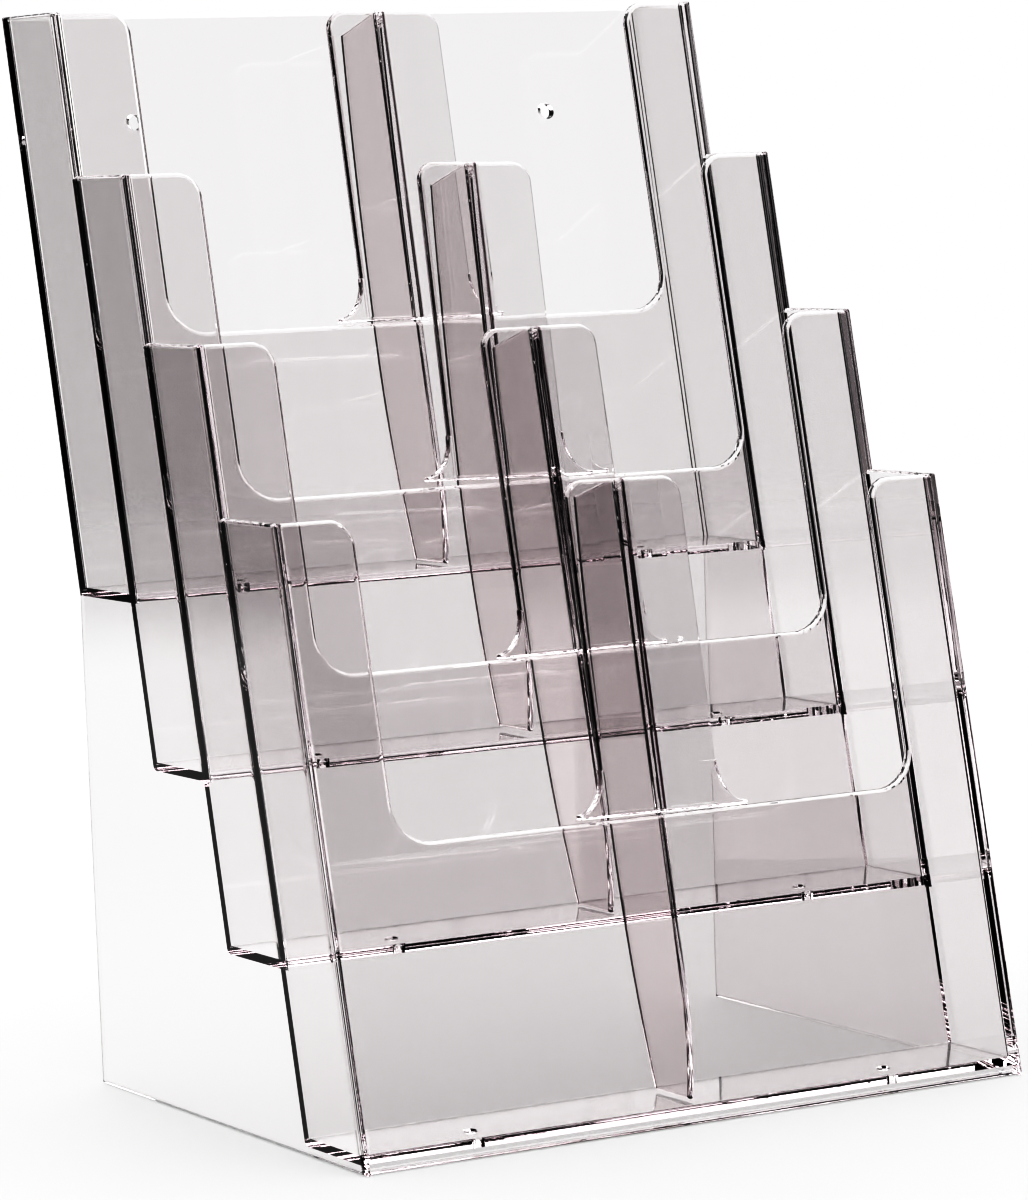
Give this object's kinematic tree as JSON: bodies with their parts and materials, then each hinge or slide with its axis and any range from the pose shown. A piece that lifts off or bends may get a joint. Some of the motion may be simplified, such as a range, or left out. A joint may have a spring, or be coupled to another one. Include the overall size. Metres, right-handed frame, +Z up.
{
  "type": "magazine rack",
  "caption": "Clear plastic countertop magazine and leaflet rack with stepped leaning pockets, U-cut fronts and lift-out dividers.",
  "frame": {"origin": "middle of the footprint of the bounding box, on the surface the rack stands on", "axes": "+Z up, +X across the width to the right of somebody facing the rack, -Y towards that person, the side the pockets' fronts face"},
  "size_m": [0.2314, 0.2126, 0.3334],
  "materials": {
    "clear_body": "polished clear moulded polystyrene, faintly grey",
    "clear_divider": "polished clear moulded polystyrene, faintly mauve-grey"
  },
  "bodies": {
    "rack_body": {"left_side_panel": "clear_body", "right_side_panel": "clear_body", "back_panel": "clear_body", "front_tier_front_panel": "clear_body", "lower_tier_front_panel": "clear_body", "upper_tier_front_panel": "clear_body", "rear_tier_front_panel": "clear_body", "front_tier_shelf": "clear_body", "lower_tier_shelf": "clear_body", "upper_tier_shelf": "clear_body", "rear_tier_shelf": "clear_body"},
    "front_divider": {"front_tier_divider": "clear_divider"},
    "lower_divider": {"lower_tier_divider": "clear_divider"},
    "upper_divider": {"upper_tier_divider": "clear_divider"},
    "rear_divider": {"rear_tier_divider": "clear_divider"}
  },
  "joints": [
    {"name": "front_divider_lift", "type": "slide", "parent": "rack_body", "child": "front_divider", "axis": [0, 0.2096, 0.9778], "range_m": [0, 0.185]},
    {"name": "lower_divider_lift", "type": "slide", "parent": "rack_body", "child": "lower_divider", "axis": [0, 0.2096, 0.9778], "range_m": [0, 0.185]},
    {"name": "upper_divider_lift", "type": "slide", "parent": "rack_body", "child": "upper_divider", "axis": [0, 0.2096, 0.9778], "range_m": [0, 0.185]},
    {"name": "rear_divider_lift", "type": "slide", "parent": "rack_body", "child": "rear_divider", "axis": [0, 0.2096, 0.9778], "range_m": [0, 0.185]}
  ]
}
